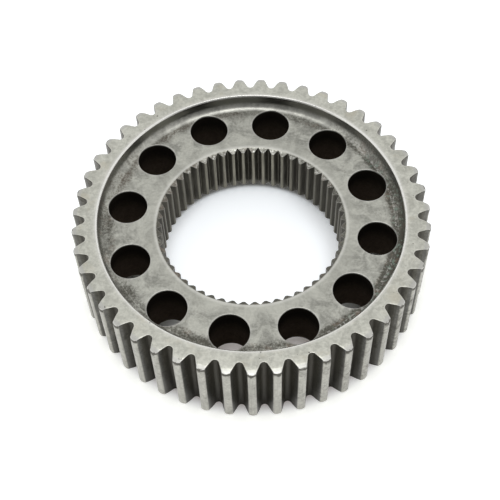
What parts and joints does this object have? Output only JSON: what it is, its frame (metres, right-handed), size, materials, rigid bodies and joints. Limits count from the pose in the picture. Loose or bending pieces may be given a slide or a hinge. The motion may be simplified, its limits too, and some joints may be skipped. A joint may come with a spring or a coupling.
{
  "type": "chain sprocket",
  "caption": "One-piece steel sprocket ring for a silent chain, with an internally splined bore and a recessed web with round holes.",
  "frame": {"origin": "centre of the lower end face's circle, on the axis of rotation", "axes": "+Z along the axis of rotation, away from the face that the part stands on. +X runs through the middle of a tooth gap, of a web hole and of a spline tooth."},
  "size_m": [0.143, 0.143, 0.036],
  "materials": {
    "steel": "satin"
  },
  "bodies": {
    "root": {"sprocket": "steel"}
  },
  "joints": []
}
